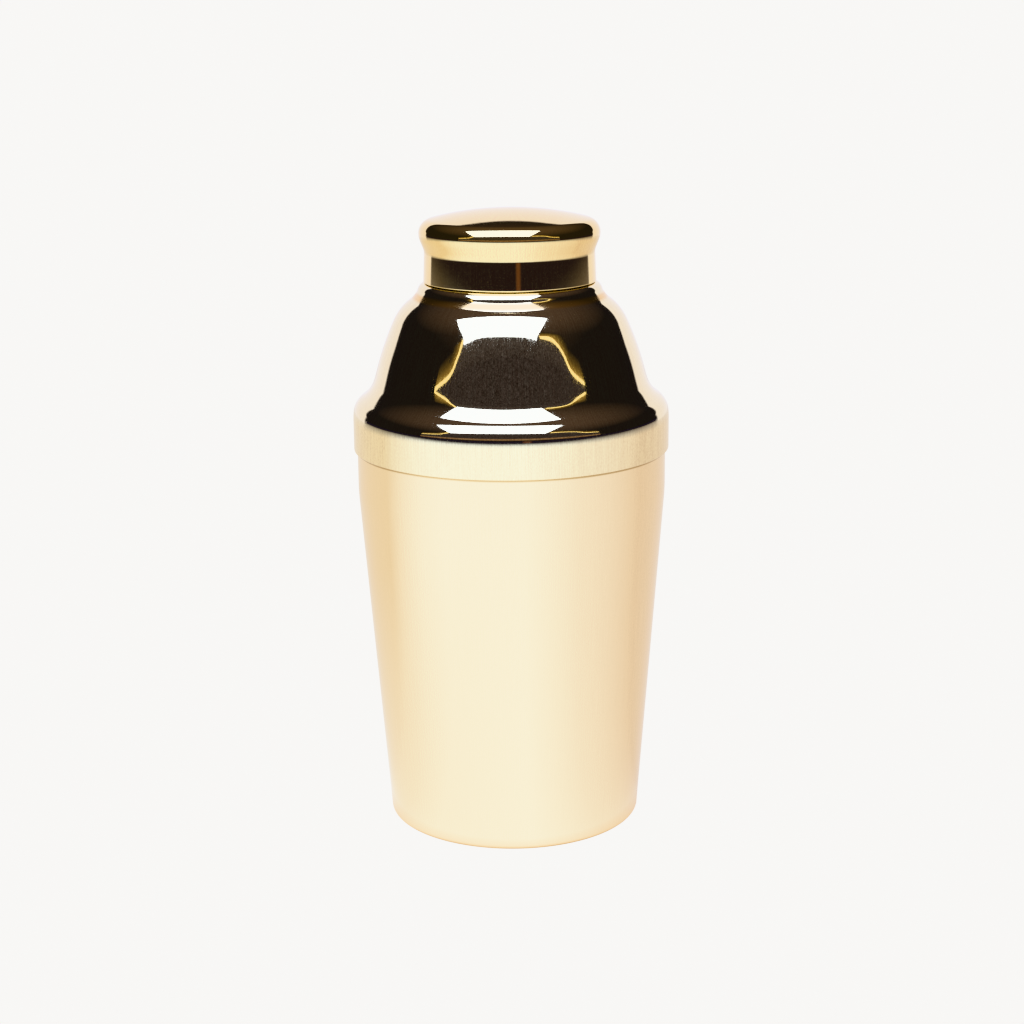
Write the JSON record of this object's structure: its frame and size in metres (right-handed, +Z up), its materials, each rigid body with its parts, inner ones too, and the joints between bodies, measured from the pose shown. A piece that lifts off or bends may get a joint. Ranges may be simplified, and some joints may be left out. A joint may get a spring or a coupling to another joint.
{
  "type": "cocktail shaker",
  "caption": "Cobbler cocktail shaker in polished gold-coloured metal: tapered cup, domed strainer top that slips over its mouth, and a waisted cap that lifts off.",
  "frame": {"origin": "centre of the cup's foot, on the surface the shaker stands on", "axes": "+Z up along the shaker's axis, out of its mouth; X and Y are level, and no side is the front"},
  "size_m": [0.092, 0.092, 0.1808],
  "materials": {
    "cup_gold": "mirror-polished pale gold plate on drawn sheet steel",
    "strainer_top_gold": "mirror-polished gold plate on drawn sheet steel, finely brushed on the flank",
    "strainer_plate_gold": "satin gold plate on a punched sheet",
    "cap_gold": "mirror-polished gold plate on drawn sheet steel"
  },
  "bodies": {
    "cup": {"cup": "cup_gold"},
    "strainer_top": {"strainer_top": "strainer_top_gold", "strainer_plate": "strainer_plate_gold"},
    "cap": {"cap": "cap_gold"}
  },
  "joints": [
    {"name": "strainer_lift", "type": "slide", "parent": "cup", "child": "strainer_top", "axis": [0, 0, 1], "range_m": [0, 0.12]},
    {"name": "cap_lift", "type": "slide", "parent": "strainer_top", "child": "cap", "axis": [0, 0, 1], "range_m": [0, 0.08]}
  ]
}
